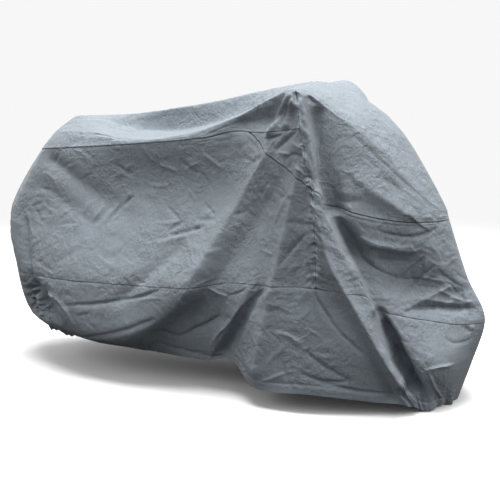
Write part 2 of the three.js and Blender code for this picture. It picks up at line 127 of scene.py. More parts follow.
def smooth_curve(knots, values, tight, at):
    """Cubic curves through values (curve, knot, axis) at the places at (curve, place). The slope at
    an inner knot is the mean of its two neighbouring slopes, each weighted by the other step."""
    steps = np.diff(knots)
    rises = np.diff(values, axis=1) / steps[:, None]
    weights = np.stack([steps[1:], steps[:-1]]) / (steps[1:] + steps[:-1])
    slopes = np.zeros_like(values)
    slopes[:, 1:-1] = rises[:, :-1] * weights[0][:, None] + rises[:, 1:] * weights[1][:, None]
    slopes *= tight[:, None]
    cell = np.clip(np.searchsorted(knots, at, side="right") - 1, 0, len(knots) - 2)
    span = steps[cell][..., None]
    f = (at - knots[cell])[..., None] / span
    here, there = cell[..., None], cell[..., None] + 1
    pick = np.take_along_axis
    curve = ((2 * f**3 - 3 * f**2 + 1) * pick(values, here, 1)
             + (3 * f**2 - 2 * f**3) * pick(values, there, 1))
    lean = (f**3 - 2 * f**2 + f) * pick(slopes, here, 1) + (f**3 - f**2) * pick(slopes, there, 1)
    return curve + span * lean


def standing_shape(along, down):
    """Smooth form of one side: curves from rib to rib at every level give a section for each place
    along, and curves down through the sections give the points. Mirror images steer the ends."""
    places = np.concatenate([RIB_PLACES[1:2] * MIRROR, RIB_PLACES, RIB_PLACES[-2:-1] * MIRROR])
    knots = np.concatenate([[-RIB_KNOTS[1]], RIB_KNOTS, [2 * RIB_KNOTS[-1] - RIB_KNOTS[-2]]])
    tight = np.concatenate([[1.0], RIB_TIGHT, [1.0]])
    sections = smooth_curve(knots, places.reshape(1, len(knots), -1), tight, along[None])
    sections = sections.reshape(len(along), len(LEVELS), 3)
    beyond = 2 * sections[:, -1:] - sections[:, -2:-1]
    sections = np.concatenate([sections[:, 1:2] * MIRROR, sections, beyond], axis=1)
    knots = np.concatenate([[-LEVEL_KNOTS[1]], LEVEL_KNOTS, [2 * LEVEL_KNOTS[-1] - LEVEL_KNOTS[-2]]])
    return smooth_curve(knots, sections, np.concatenate([[1.0], LEVEL_TIGHT, [1.0]]), down)


def outward(along, down):
    """Unit normals of the standing shape, from its differences over a short step both ways."""
    step = 0.001
    round_about = standing_shape(along + step, down) - standing_shape(along - step, down)
    falling = standing_shape(along, down + step) - standing_shape(along, down - step)
    normals = np.cross(round_about, falling)
    return normals / np.linalg.norm(normals, axis=2, keepdims=True)


# Folds that run through several panels, seen from the side: from (x, z), to (x, z), bow at the
# middle, half-width at both ends, height at both ends (below zero a trough), width of one flank.
FOLDS_RIGHT = (
    ((0.070, 1.112), (0.262, 1.158), 0.0, (0.032, 0.042), (-0.020, -0.042), 1.0),  # under the bar
    ((0.298, 1.222), (0.208, 1.096), 0.0, (0.014, 0.020), (0.010, 0.026), 1.0),  # fold from the bar end
    ((0.198, 1.005), (-0.132, 0.445), 0.009, (0.036, 0.064), (0.017, 0.044), 1.3),  # rear ray
    ((-0.132, 0.445), (-0.590, 0.200), -0.055, (0.062, 0.050), (0.044, 0.014), 1.2),  # its sweep
    ((0.262, 0.925), (-0.060, 0.430), 0.0, (0.044, 0.084), (-0.006, -0.030), 0.6),  # rear hollow
    ((-0.060, 0.430), (-0.300, 0.215), 0.0, (0.070, 0.054), (-0.030, -0.030), 0.8),  # under the sweep
    ((-0.205, 0.590), (-0.430, 0.395), 0.0, (0.028, 0.032), (-0.010, -0.014), 1.0),  # behind the ray
    ((0.334, 0.939), (0.236, 0.507), 0.0, (0.024, 0.030), (0.012, 0.022), 1.1),  # middle ray
    ((0.236, 0.507), (0.172, 0.165), 0.0, (0.032, 0.044), (0.022, 0.026), 0.9),  # fall in the skirt
    ((0.380, 0.880), (0.330, 0.505), 0.0, (0.026, 0.034), (-0.005, -0.008), 1.0),  # middle hollow
    ((0.168, 0.462), (-0.014, 0.186), 0.0, (0.022, 0.028), (-0.016, -0.042), 1.0),  # slit in the skirt
    ((0.132, 0.461), (-0.034, 0.204), 0.0, (0.024, 0.028), (0.008, 0.022), 1.5),  # edge of the slit
    ((0.335, 1.200), (0.425, 0.580), 0.0, (0.015, 0.024), (0.016, 0.010), 1.0),  # along the bar seam
    ((0.400, 1.160), (0.466, 0.810), 0.006, (0.022, 0.024), (-0.038, -0.052), 1.0),  # before the bar seam
    ((0.415, 0.868), (0.474, 0.577), 0.014, (0.024, 0.026), (0.016, 0.034), 1.0),  # crest of the flap
    ((0.474, 0.577), (0.718, 0.140), 0.0, (0.024, 0.024), (0.034, 0.038), 1.0),  # rolled pleat
    ((0.505, 0.440), (0.694, 0.082), -0.018, (0.026, 0.026), (-0.005, -0.026), 1.0),  # behind the roll
    ((0.632, 0.395), (0.770, 0.105), 0.0, (0.015, 0.019), (-0.020, -0.060), 1.0),  # gap before the roll
    ((0.452, 0.815), (0.530, 0.640), 0.0, (0.014, 0.020), (-0.024, -0.020), 1.0),  # pocket under the hood
    ((0.572, 0.872), (0.690, 0.778), 0.0, (0.050, 0.046), (0.018, 0.022), 0.5),  # swell of the hood
    ((-0.834, 0.912), (-0.484, 0.715), 0.0, (0.030, 0.042), (-0.016, -0.008), 1.0),  # tail trough
    ((-0.868, 0.800), (-0.640, 0.675), 0.0, (0.026, 0.030), (-0.007, -0.007), 1.0),  # lower tail trough
    ((-0.968, 0.640), (-0.935, 0.400), 0.0, (0.018, 0.022), (-0.010, -0.026), 1.0),  # tuck of the tail
    ((-0.905, 0.372), (-0.790, 0.262), 0.0, (0.028, 0.026), (-0.034, -0.028), 1.0),  # gathered tail
    ((0.760, 0.418), (0.950, 0.392), 0.0, (0.026, 0.024), (-0.024, -0.024), 1.0),  # over the low seam
    ((0.690, 0.505), (0.900, 0.445), 0.0, (0.055, 0.050), (-0.026, -0.022), 1.0),  # front trough
)
FOLDS_LEFT = (
    ((0.085, 1.108), (0.280, 1.150), 0.0, (0.034, 0.044), (-0.012, -0.048), 1.0),  # under the bar
    ((0.190, 1.000), (-0.040, 0.440), 0.020, (0.034, 0.058), (0.016, 0.036), 1.2),  # rear ray
    ((0.110, 0.960), (-0.140, 0.520), -0.010, (0.038, 0.062), (-0.010, -0.026), 1.0),  # rear hollow
    ((0.300, 0.930), (0.250, 0.460), -0.015, (0.028, 0.040), (0.012, 0.024), 1.1),  # middle ray
    ((0.240, 0.880), (0.110, 0.430), 0.0, (0.030, 0.042), (-0.012, -0.026), 1.0),  # middle hollow
    ((-0.160, 0.450), (-0.520, 0.230), -0.025, (0.048, 0.060), (0.024, 0.010), 1.2),  # sweep
    ((0.260, 0.470), (0.230, 0.100), 0.010, (0.036, 0.052), (0.024, 0.026), 1.0),  # fall in the skirt
    ((0.335, 1.200), (0.420, 0.560), 0.0, (0.024, 0.030), (0.010, 0.012), 1.0),  # along the bar seam
    ((0.398, 1.150), (0.468, 0.850), 0.0, (0.028, 0.030), (-0.018, -0.022), 1.0),  # before the bar seam
    ((0.500, 0.560), (0.765, 0.110), 0.010, (0.030, 0.028), (0.014, 0.024), 1.0),  # rolled pleat
    ((0.470, 0.480), (0.690, 0.100), 0.0, (0.028, 0.030), (-0.016, -0.026), 1.0),  # valley behind the roll
    ((-1.070, 0.560), (-1.020, 0.320), 0.0, (0.022, 0.026), (-0.008, -0.020), 1.0),  # tuck of the tail
    ((0.580, 0.862), (0.690, 0.790), 0.0, (0.048, 0.044), (0.016, 0.020), 0.4),  # swell of the hood
    ((-0.790, 0.925), (-0.500, 0.740), 0.0, (0.032, 0.042), (-0.014, -0.009), 1.0),  # tail trough
    ((-0.870, 0.840), (-0.560, 0.650), 0.010, (0.040, 0.052), (0.010, 0.010), 1.0),  # tail ridge
    ((0.680, 0.590), (0.890, 0.450), 0.0, (0.038, 0.034), (-0.016, -0.008), 1.0),  # front trough
)
FLAT_WIDTH = 0.080  # folds fade out over this half-width towards the centre line
END_FADE = 1.5  # a fold dies away past its ends over this many widths
RIDGE_POINT = 1.4  # ridges of the taut cloth come to a point, troughs are rounder
TROUGH_POINT = 1.8


def along_line(start, end, bow, x, z):
    """Share run along the line from start to end, its clipped share, and the distance across it,
    taken from a bow that stands off by bow at the middle."""
    run = np.array(end) - np.array(start)
    length = np.hypot(*run)
    dx, dz = run / length
    share = ((x - start[0]) * dx + (z - start[1]) * dz) / length
    inside = np.clip(share, 0, 1)
    across = (x - start[0]) * dz - (z - start[1]) * dx - bow * 4 * inside * (1 - inside)
    return share, inside, across, length


def fold_heights(folds, x, z):
    """Highest ridge plus deepest trough at (x, z). Each fold is its height times a bell curve of
    the distance across, with its own width on each flank, and fades out past both ends."""
    high, deep = np.zeros_like(x), np.zeros_like(x)
    for start, end, bow, wide, height, skew in folds:
        share, inside, across, length = along_line(start, end, bow, x, z)
        width = (wide[0] + (wide[1] - wide[0]) * inside) * np.where(across > 0, skew, 1.0)
        past = np.abs(share - inside) * length
        point = RIDGE_POINT if height[1] > 0 else TROUGH_POINT
        bell = np.exp(-(np.abs(across / width) ** point) - (past / (END_FADE * width)) ** 2)
        rise = (height[0] + (height[1] - height[0]) * inside) * bell
        high, deep = np.maximum(high, rise), np.minimum(deep, rise)
    return high + deep


NOISE_TABLE = 256  # the random field repeats after this many cells


def value_noise(u, v, seed):
    """Smooth random field of u and v: one seeded value at every pair of whole numbers, eased
    between them by 3f^2 - 2f^3."""
    table = np.random.default_rng(seed).uniform(-1, 1, (NOISE_TABLE, NOISE_TABLE))
    cell_u, cell_v = np.floor(u).astype(int), np.floor(v).astype(int)
    f, g = u - cell_u, v - cell_v
    f, g = f * f * (3 - 2 * f), g * g * (3 - 2 * g)
    left, right = cell_u % NOISE_TABLE, (cell_u + 1) % NOISE_TABLE
    low, high = cell_v % NOISE_TABLE, (cell_v + 1) % NOISE_TABLE
    near = table[left, low] * (1 - f) + table[right, low] * f
    return near * (1 - g) + (table[left, high] * (1 - f) + table[right, high] * f) * g


CREASE_POINT = 1.15  # a crease is sharper than a fold
CREASE_WAVER = 0.0016  # lines of the creases waver by this much, in waves of the next length
CREASE_WAVE = 0.034
CREASE_PATCH = 0.045  # creases are stronger and weaker in patches of this size
CREASE_STEP = 1.8  # slope of the step in a crease that leans to one side


def crease_heights(creases, x, z):
    """Sum of thin creases: each is its height times a pointed bell across, part ridge and part
    step as its lean says, wavering from side to side, uneven along, and tapering to nothing at
    both ends."""
    bent_x = x + CREASE_WAVER * value_noise(x / CREASE_WAVE, z / CREASE_WAVE, 71)
    bent_z = z + CREASE_WAVER * value_noise(x / CREASE_WAVE, z / CREASE_WAVE, 72)
    uneven = 1.25 + 0.5 * value_noise(x / CREASE_PATCH, z / CREASE_PATCH, 73)
    total = np.zeros_like(x)
    for start, end, bow, width, height, lean in creases:
        share, inside, across, length = along_line(start, end, bow, bent_x, bent_z)
        u = across / width
        bell = np.exp(-np.abs(u) ** CREASE_POINT)
        taper = np.sqrt(np.clip(4 * share * (1 - share), 0, 1))
        total += height * taper * bell * ((1 - abs(lean)) + CREASE_STEP * lean * u)
    return total * uneven


PACKED_ANGLES = (0.6, 2.2)  # the two packing directions, in radians
PACKED_WIDTH = (0.0040, 0.0070)
PACKED_HEIGHT = (0.0008, 0.0030)


def packing_creases(seed, count, low, high, longest=0.15):
    """Seeded rows of small straight creases, as left by folding for the bag, within a range of
    (x, z): half of them follow two packing directions, the others lie at random."""
    rng = np.random.default_rng(seed)
    start = rng.uniform(low, high, (count, 2))
    packed = np.where(rng.random(count) < 0.5, *PACKED_ANGLES) + rng.normal(0, 0.18, count)
    angle = np.where(rng.random(count) < 0.5, packed, rng.uniform(0, np.pi, count))
    length = rng.uniform(0.3, 1.0, count) * longest
    end = start + length[:, None] * np.stack([np.cos(angle), np.sin(angle)], 1)
    width = rng.uniform(*PACKED_WIDTH, count)
    height = rng.choice([-1.0, 1.0], count) * rng.uniform(*PACKED_HEIGHT, count)
    lean = rng.uniform(-0.8, 0.8, count)
    bow = rng.normal(0, 0.05, count) * length
    return tuple(zip(start.tolist(), end.tolist(), bow, width, height, lean))


# Crumples of the slack cloth, the broad and the small ones: size along and down, height.
CRUMPLES = ((0.085, 0.060, 0.0044), (0.034, 0.026, 0.0021))
CRUMPLE_BEND = 0.03  # their lines are bent by this much, in waves of the next length
CRUMPLE_WAVE = 0.12
CRUMPLE_PATCH = (0.26, 0.20)  # they are stronger in patches of this size along and down


def crumple_heights(along, down, seed):
    """Uneven crumples all over the cloth: folded noise in two sizes, bent by a broader noise and
    stronger in patches."""
    bend = CRUMPLE_BEND * value_noise(along / CRUMPLE_WAVE, down / CRUMPLE_WAVE, seed)
    patch = value_noise(along / CRUMPLE_PATCH[0], down / CRUMPLE_PATCH[1], seed + 1)
    patch = np.clip(0.55 + 0.9 * patch, 0.15, 1.3)
    total = np.zeros_like(patch)
    for order, (wide, tall, high) in enumerate(CRUMPLES):
        folded = value_noise((along + bend) / wide, (down - bend) / tall, seed + 2 + order)
        total = total + high * np.abs(folded)
    return total * patch


# Elastic gathers: broad waves around both ends of the hem.
GATHER_DEPTH = 0.009
GATHER_PITCH = 0.128
GATHER_RISE = 0.130
GATHER_SPREAD = 0.330


def gather_heights(along, down):
    """Cosine waves along the hem, strongest at the hem and at the two ends of the cover."""
    rise = np.clip(1 - (LEVEL["hem"] - down) / GATHER_RISE, 0, 1)
    end = np.minimum(along, RIB["nose"] - along)[:, None]
    reach = np.sqrt(np.clip(1 - end / GATHER_SPREAD, 0, 1))
    return GATHER_DEPTH * rise**2 * reach * np.cos(2 * np.pi * end / GATHER_PITCH)


def drape(along, down, side):
    """Points of the cloth before its panel's own creases, their normals, and how far each may be
    creased: the standing shape pushed out along its normals by folds and gathers."""
    points, normals = standing_shape(along, down), outward(along, down)
    x, half_width, z = np.moveaxis(points, 2, 0)
    folds = np.where(side < 0, fold_heights(FOLDS_RIGHT, x, z), fold_heights(FOLDS_LEFT, x, z))
    free = np.clip(half_width / FLAT_WIDTH, 0, 1)
    points = points + normals * ((folds + gather_heights(along, down)) * free)[..., None]
    points[..., 1] = np.maximum(points[..., 1], 0)
    turn = np.stack([np.ones_like(side), side, np.ones_like(side)], -1)
    return points * turn, normals * turn, free


SIDES = (("right", -1.0), ("left", 1.0))


def lengths(points, axis):
    """Distance run along the grid lines of one axis, from the first line on."""
    steps = np.linalg.norm(np.diff(points, axis=axis), axis=2)
    start = np.zeros_like(np.take(steps, [0], axis=axis))
    return np.concatenate([start, np.cumsum(steps, axis=axis)], axis=axis)


SEAM_DEPTH = 0.0015
SEAM_WIDTH = 0.0036
LAP_WIDTH = 0.0090  # a lapped edge stands up over this distance
PUCKER_PITCH = (0.015, 0.008)  # the broad and the small puckers, along the seam
PUCKER_LENGTH = (0.030, 0.016)  # and away from it
PUCKER_SLANT = 0.4
PUCKER_REACH = 0.022
SIDES_APART = 5.0  # gives the upright seams of the two sides puckers of their own


def sewn_edges(points, along, down, sewn, seed):
    """Distance to the nearest sewn edge, the same distance divided by the strength of the groove for
    the painted seam shade, run along the edge, and the relief of the seam there: a groove, a lapped
    edge, and uneven puckers that run off at a slant and die away. sewn gives the pucker, the lap and
    the strength of the groove of each sewn edge; a stronger groove also widens the painted shade.
    Upright seams are measured by their height, so that the puckers of the two panels that meet there
    agree."""
    across, around = lengths(points, 1), lengths(points, 0)
    level = along[:, None] + 0 * down
    height = points[..., 2] + SIDES_APART * np.sign(points[..., 1])
    edges = {
        "upper": (across, level, seed + 11),
        "lower": (across[:, -1:] - across, level, seed + 12),
        "start": (around, height[:1] + 0 * down, 13),
        "end": (around[-1:] - around, height[-1:] + 0 * down, 13),
    }
    gap = np.full(down.shape, 1.0)
    line = np.full(down.shape, 1.0)
    run = np.zeros(down.shape)
    dent = np.zeros(down.shape)
    for edge, (pucker, lap, groove) in sewn.items():
        away, place, chance = edges[edge]
        run = np.where(away < gap, place, run)
        gap = np.minimum(gap, away)
        # Distance divided by the groove strength, which sets how far the painted seam shade reaches.
        line = np.minimum(line, away / groove)
        dent = dent - SEAM_DEPTH * np.minimum(groove, 1) * np.exp(-((away / SEAM_WIDTH) ** 2))
        slant = place + PUCKER_SLANT * away
        wave = value_noise(slant / PUCKER_PITCH[0], away / PUCKER_LENGTH[0], chance)
        wave = wave + 0.5 * value_noise(slant / PUCKER_PITCH[1], away / PUCKER_LENGTH[1], chance + 10)
        dent = dent + pucker * wave * np.exp(-away / PUCKER_REACH)
        dent = dent + lap * np.exp(-((away / LAP_WIDTH) ** 2))
    return gap, line, run, dent


def panel_grid(first, last, cell=CELL):
    """Even number of cells over a range of the standing shape, as the places of their lines."""
    count = 2 * int(np.ceil((last - first) / cell / 2))
    return np.linspace(first, last, count + 1)


def cell_corners(grid):
    """Numbers of the four corners of each cell of a grid, in turn around the cell."""
    turn = (grid[:-1, :-1], grid[:-1, 1:], grid[1:, 1:], grid[1:, :-1])
    return np.stack(turn, -1).reshape(-1, 4)


SHARP_TURN = np.radians(65)  # shading breaks at edges that turn by more


def sheet_object(name, points, normals, attributes, closed=None):
    """Closed sheet over a grid of points: the outer face, an inner face on every second grid line
    at the cloth's thickness below it, and an edge between them. Where both halves of a closed end
    lie on the centre line, the points of one half stand for those of the other."""
    rows, columns = points.shape[:2]
    index = np.arange(rows * columns).reshape(rows, columns)
    half = columns // 2
    if closed == "start":
        index[0, :half] = index[0, :half:-1]
    if closed == "end":
        index[-1, :half] = index[-1, :half:-1]
    inner = index[::2, ::2] + rows * columns
    walks = {"lower": np.s_[:, -1], "end": np.s_[-1, ::-1], "upper": np.s_[::-1, 0], "start": np.s_[0, :]}
    rims = []
    for edge, walk in walks.items():
        if edge != closed:
            out, low = index[walk], inner[walk]
            rims.append(np.stack([out[:-2:2], low[:-1], low[1:], out[2::2], out[1:-1:2]], -1))
    faces = [cell_corners(index), cell_corners(inner)[:, ::-1], np.concatenate(rims)]
    turning = np.cross(np.diff(points, axis=1)[:-1], np.diff(points, axis=0)[:, :-1])
    if np.sum(turning * normals[:-1, :-1]) < 0:
        faces = [part[:, ::-1] for part in faces]
    places = np.concatenate([(points + normals * CLOTH_THICKNESS / 2).reshape(-1, 3),
                             (points - normals * CLOTH_THICKNESS / 2).reshape(-1, 3)]) - ORIGIN
    used = np.unique(np.concatenate([part.ravel() for part in faces]))
    number = np.zeros(2 * rows * columns, int)
    number[used] = np.arange(len(used))
    mesh = bpy.data.meshes.new(name)
    mesh.from_pydata(places[used], [], [row for part in faces for row in number[part].tolist()])
    for label, values in attributes.items():
        layer = mesh.attributes.new(label, "FLOAT", "POINT")
        layer.data.foreach_set("value", np.tile(values.ravel(), 2)[used].astype(np.float32))
    flat = np.stack([lengths(points, 0), lengths(points, 1)], -1).reshape(-1, 2)
    loops = np.concatenate([part.ravel() for part in faces]) % (rows * columns)
    mesh.uv_layers.new(name="cloth").data.foreach_set("uv", flat[loops].ravel().astype(np.float32))
    mesh.shade_smooth()
    mesh.set_sharp_from_angle(angle=SHARP_TURN)
    mesh.validate()
    piece = bpy.data.objects.new(name, mesh)
    bpy.context.scene.collection.objects.link(piece)
    return piece


SEAM_CLEAR = 0.016  # creases and crumples fade out over this distance towards a seam
END_CLEAR = 0.06  # crumples fade out over this distance towards the ends of the cover


def sewn_panel(name, along, down, side, sewn, seed, creases, plan=(), closed=None, extra=0.0):
    """One panel of the cover: the drape over its grid, dented along its seams, crumpled, and with its
    own creases, those of the upright cloth placed from the side and those of the top in plan. All
    but the seams fades out towards the seams and the ends of the cover."""
    points, normals, free = drape(along, down, side)
    gap, line, run, dent = sewn_edges(points, along, down, sewn, seed)
    x, y, z = np.moveaxis(points, 2, 0)
    upright = np.clip(2 * np.abs(normals[..., 1]) - 0.4, 0, 1)
    own = crease_heights(plan, x, y) * (1 - upright)
    for label, sign in SIDES:
        if label in creases:
            own = own + crease_heights(creases[label], x, z) * upright * (side == sign)
    ends = np.clip(np.minimum(along, RIB["nose"] - along) / END_CLEAR, 0, 1)[:, None]
    slack = crumple_heights(along[:, None], side * down, seed)
    fade = np.clip(gap / SEAM_CLEAR, 0, 1)
    relief = ((own + extra) * free + slack * ends) * fade + dent * np.maximum(free, 0.3)
    # Attributes for the shader: distance to the seam for the stitch rows, the scaled distance for the painted
    # seam shade, and the run along the seam.
    marks = {"seam": gap, "line": line, "run": run}
    return sheet_object(name, points + normals * relief[..., None], normals, marks, closed)


# Cloth of every panel: a matt blue-grey coated weave with a little sheen.
CLOTH_COLOUR = (0.160, 0.185, 0.208)
CLOTH_ROUGHNESS = (0.64, 0.80)
# Painted shade along the seams: a dark line for the shadow in a seam and under a lapped edge.
SEAM_PAINTED_SHADOW = (0.050, 0.058, 0.066, 1.0)
THREAD_COLOUR = (0.27, 0.30, 0.33, 1.0)
WEAVE_PITCH = 0.0022


def node(tree, kind, given=(), **settings):
    """A shader node with its settings and its given inputs, each a socket to link or a value."""
    made = tree.nodes.new(kind)
    for key, value in settings.items():
        setattr(made, key, value)
    for name, source in given:
        if isinstance(source, bpy.types.NodeSocket):
            tree.links.new(source, made.inputs[name])
        else:
            made.inputs[name].default_value = source
    return made


def maths(tree, operation, *given):
    """Output of a maths node for sockets or values."""
    return node(tree, "ShaderNodeMath", enumerate(given), operation=operation).outputs[0]


def ramp(tree, value, old, new, kind="LINEAR"):
    """Output of a node that maps the range old of a value to the range new."""
    given = enumerate((value, *old, *new))
    return node(tree, "ShaderNodeMapRange", given, interpolation_type=kind).outputs[0]


def noise(tree, place, scale, detail):
    """A noise texture of a scale, in pieces a metre, and a number of finer layers."""
    return node(tree, "ShaderNodeTexNoise", [("Vector", place), ("Scale", scale), ("Detail", detail)])


def shader_group(name, inputs, outputs):
    """An empty shader node group with sockets by name and kind, and its two ends to link."""
    group = bpy.data.node_groups.new(name, "ShaderNodeTree")
    for way, sockets in (("INPUT", inputs), ("OUTPUT", outputs)):
        for label, kind in sockets.items():
            group.interface.new_socket(label, in_out=way, socket_type=f"NodeSocket{kind}")
    return group, group.nodes.new("NodeGroupInput").outputs, group.nodes.new("NodeGroupOutput").inputs


# Crinkles of the weave, in pieces a metre, and their depth: flat facets, then fine folded dents.
FACETS = ((20.0, 0.0034), (46.0, 0.0023))
DENTS = ((75.0, 0.0024), (170.0, 0.0026))


def crinkle_group():
    """Crinkles of a coated weave, stronger in patches: the distance from scattered points, bent by
    noise, gives facets that meet in sharp lines, and noise folded at its middle value gives dents."""
    group, given, out = shader_group("cloth_crinkle", {"Place": "Vector"},
                                     {"Height": "Float", "Tone": "Float"})
    broad = noise(group, given["Place"], 6.0, 1.0)
    patch = ramp(group, broad.outputs["Fac"], (0.34, 0.66), (0.25, 1.50))
    waver = noise(group, given["Place"], 13.0, 3.0)
    bent = node(group, "ShaderNodeVectorMath", operation="MULTIPLY_ADD",
                given=[(0, waver.outputs["Color"]), (1, (0.11, 0.11, 0.11)), (2, given["Place"])]).outputs[0]
    total = 0.0
    for pitch, depth in FACETS:
        facets = node(group, "ShaderNodeTexVoronoi", [("Vector", bent), ("Scale", pitch)])
        total = maths(group, "MULTIPLY_ADD", facets.outputs["Distance"], depth, total)
    for pitch, depth in DENTS:
        dents = noise(group, bent, pitch, 2.0)
        folded = maths(group, "ABSOLUTE", maths(group, "SUBTRACT", dents.outputs["Fac"], 0.5))
        total = maths(group, "MULTIPLY_ADD", folded, depth, total)
    group.links.new(maths(group, "MULTIPLY", total, patch), out["Height"])
    group.links.new(noise(group, given["Place"], 150.0, 2.0).outputs["Fac"], out["Tone"])
    return group


def weave_group():
    """Plain weave: crossing sine ridges of the two thread systems, at the thread pitch."""
    group, given, out = shader_group("plain_weave", {"Flat": "Vector", "Pitch": "Float"}, {"Height": "Float"})
    sizes = [(0, given["Flat"]), (1, given["Pitch"])]
    scaled = node(group, "ShaderNodeVectorMath", sizes, operation="DIVIDE")
    parts = node(group, "ShaderNodeSeparateXYZ", [(0, scaled.outputs[0])])
    turns = [maths(group, "MULTIPLY", parts.outputs[axis], 2 * np.pi) for axis in "XY"]
    threads = [maths(group, "SINE", turn) for turn in turns]
    group.links.new(maths(group, "MULTIPLY", *threads), out["Height"])
    return group


STITCH_ROW = 0.0055  # distance of the stitches from the seam
STITCH_HALF_WIDTH = 0.0006
STITCH_PITCH = 0.0042
STITCH_LENGTH = 0.003


def stitch_group():
    """Sewing thread beside a seam: dashes of the stitch length in a row at its distance from the
    edge, and painted shade along the seam, a dark line for the shadow in the seam and under a lapped edge."""
    group, given, out = shader_group("stitch_rows", dict.fromkeys(("Gap", "Line", "Run"), "Float"),
                                     {"Thread": "Float", "PaintedShade": "Float"})
    off = maths(group, "ABSOLUTE", maths(group, "SUBTRACT", given["Gap"], STITCH_ROW))
    row = maths(group, "LESS_THAN", off, STITCH_HALF_WIDTH)
    dash = maths(group, "LESS_THAN", maths(group, "MODULO", given["Run"], STITCH_PITCH), STITCH_LENGTH)
    group.links.new(maths(group, "MULTIPLY", row, dash), out["Thread"])
    # Painted seam shade: full within 0.5 mm of the seam and none past 2.2 mm, in distances divided by the
    # groove strength.
    edge = ramp(group, given["Line"], (0.0022, 0.0005), (0.0, 1.0), "SMOOTHSTEP")
    group.links.new(edge, out["PaintedShade"])
    return group


def cloth_material():
    """Blue-grey cloth: the base colour is mottled by the slubs of the yarn and darkened by painted shade
    along the seams, thread rows stand a little lighter, and crinkles and weave give the bump."""
    material = bpy.data.materials.new("cover_cloth")
    material.use_nodes = True
    tree = material.node_tree
    shader = tree.nodes["Principled BSDF"]
    shader.inputs["Specular IOR Level"].default_value = 0.32
    shader.inputs["Sheen Weight"].default_value = 0.12
    shader.inputs["Sheen Roughness"].default_value = 0.5
    place = node(tree, "ShaderNodeTexCoord").outputs["Object"]
    flat = node(tree, "ShaderNodeUVMap", uv_map="cloth").outputs["UV"]
    crinkle = node(tree, "ShaderNodeGroup", [("Place", place)], node_tree=crinkle_group()).outputs
    weave = node(tree, "ShaderNodeGroup", [("Flat", flat), ("Pitch", WEAVE_PITCH)], node_tree=weave_group())
    stitch = node(tree, "ShaderNodeGroup", node_tree=stitch_group())
    for socket, label in (("Gap", "seam"), ("Line", "line"), ("Run", "run")):
        mark = node(tree, "ShaderNodeAttribute", attribute_name=label)
        tree.links.new(mark.outputs["Fac"], stitch.inputs[socket])
    tone = ramp(tree, crinkle["Tone"], (0.25, 0.75), (0.84, 1.16))
    mottled = node(tree, "ShaderNodeVectorMath", [(0, CLOTH_COLOUR), (1, tone)], operation="MULTIPLY")
    colour = mottled.outputs[0]
    # The painted seam shade is mixed over the mottled colour first, then the lighter thread.
    for mask, paint in (("PaintedShade", SEAM_PAINTED_SHADOW), ("Thread", THREAD_COLOUR)):
        given = [(0, stitch.outputs[mask]), (6, colour), (7, paint)]
        colour = node(tree, "ShaderNodeMix", given, data_type="RGBA").outputs[2]
    tree.links.new(colour, shader.inputs["Base Color"])
    rough = ramp(tree, crinkle["Tone"], (0.0, 1.0), CLOTH_ROUGHNESS)
    tree.links.new(rough, shader.inputs["Roughness"])
    dents = node(tree, "ShaderNodeBump", [("Height", crinkle["Height"]), ("Distance", 1.0)]).outputs[0]
    threads = node(tree, "ShaderNodeBump", [("Height", weave.outputs[0]), ("Normal", dents),
                                            ("Strength", 0.25), ("Distance", 0.0003)]).outputs[0]
    tree.links.new(threads, shader.inputs["Normal"])
    return material


cover_cloth = cloth_material()


def finish_panel(piece, node_name):
    """Cloth finish of a panel: the cover cloth, a place under the root body, and the matching CAD part
    hidden.
    """
    piece.data.materials.append(cover_cloth)
    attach(piece, "root")
    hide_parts(node_name)


# Creases: from, to, bow at the middle, half-width, height (below zero a groove), lean to one side.
CROWN_PLAN = (
    ((-0.608, -0.107), (-0.538, -0.025), 0.006, 0.010, -0.006, 0.3),
    ((-0.582, -0.088), (-0.497, -0.020), -0.004, 0.008, 0.005, 0.3),
    ((-0.533, -0.089), (-0.476, -0.013), 0.004, 0.010, -0.007, 0.3),
    ((-0.500, -0.060), (-0.408, -0.006), 0.004, 0.008, 0.005, 0.3),
    ((-0.440, -0.070), (-0.340, 0.000), 0.008, 0.010, -0.005, 0.3),
) + packing_creases(3, 70, (-0.85, -0.26), (0.28, 0.26))
CROWN_SIDE = {
    "right": (
        ((0.300, 1.244), (0.204, 1.100), 0.0, 0.009, 0.010, 0.2),
        ((0.306, 1.230), (0.250, 1.110), 0.0, 0.007, -0.007, 0.2),
        ((0.322, 1.232), (0.268, 1.098), 0.0, 0.022, 0.016, 0.0),
        ((0.326, 1.200), (0.285, 1.108), 0.004, 0.007, 0.007, 0.3),
        ((0.130, 1.170), (0.215, 1.130), 0.004, 0.007, -0.004, 0.3),
    ),
    "left": (
        ((0.305, 1.230), (0.255, 1.140), 0.0, 0.007, -0.006, 0.3),
        ((0.140, 1.165), (0.220, 1.120), 0.004, 0.007, 0.004, 0.3),
    ),
}
CROWN_ROWS = 90
GUSSET_EDGE = (1.078, 1.092)  # heights of the gusset's upper edge at the tank and at the bar


def gusset_upper(along):
    """Places down of the gusset's upper edge, a straight line seen from the side: its share of the
    way from ridge to seam, never quite down to the seam."""
    ends = np.array([LEVEL["ridge"], LEVEL["seam"]]) + np.zeros((len(along), 1))
    ridge, seam = standing_shape(along, ends)[..., 2].T
    height = np.interp(along, [RIB["tank"], RIB["bar"]], GUSSET_EDGE)
    share = np.clip((ridge - height) / (ridge - seam), 0.0, 0.97)
    return LEVEL["ridge"] + share * (LEVEL["seam"] - LEVEL["ridge"])


BAR_PUCKER = 0.0085


def bar_pucker(down):
    """Depth of the puckers of the bar seam: full on the upright cloth, a tenth over the top."""
    return BAR_PUCKER * np.clip((down / LEVEL["ridge"] - 0.85) / 0.15, 0.1, 1.0)


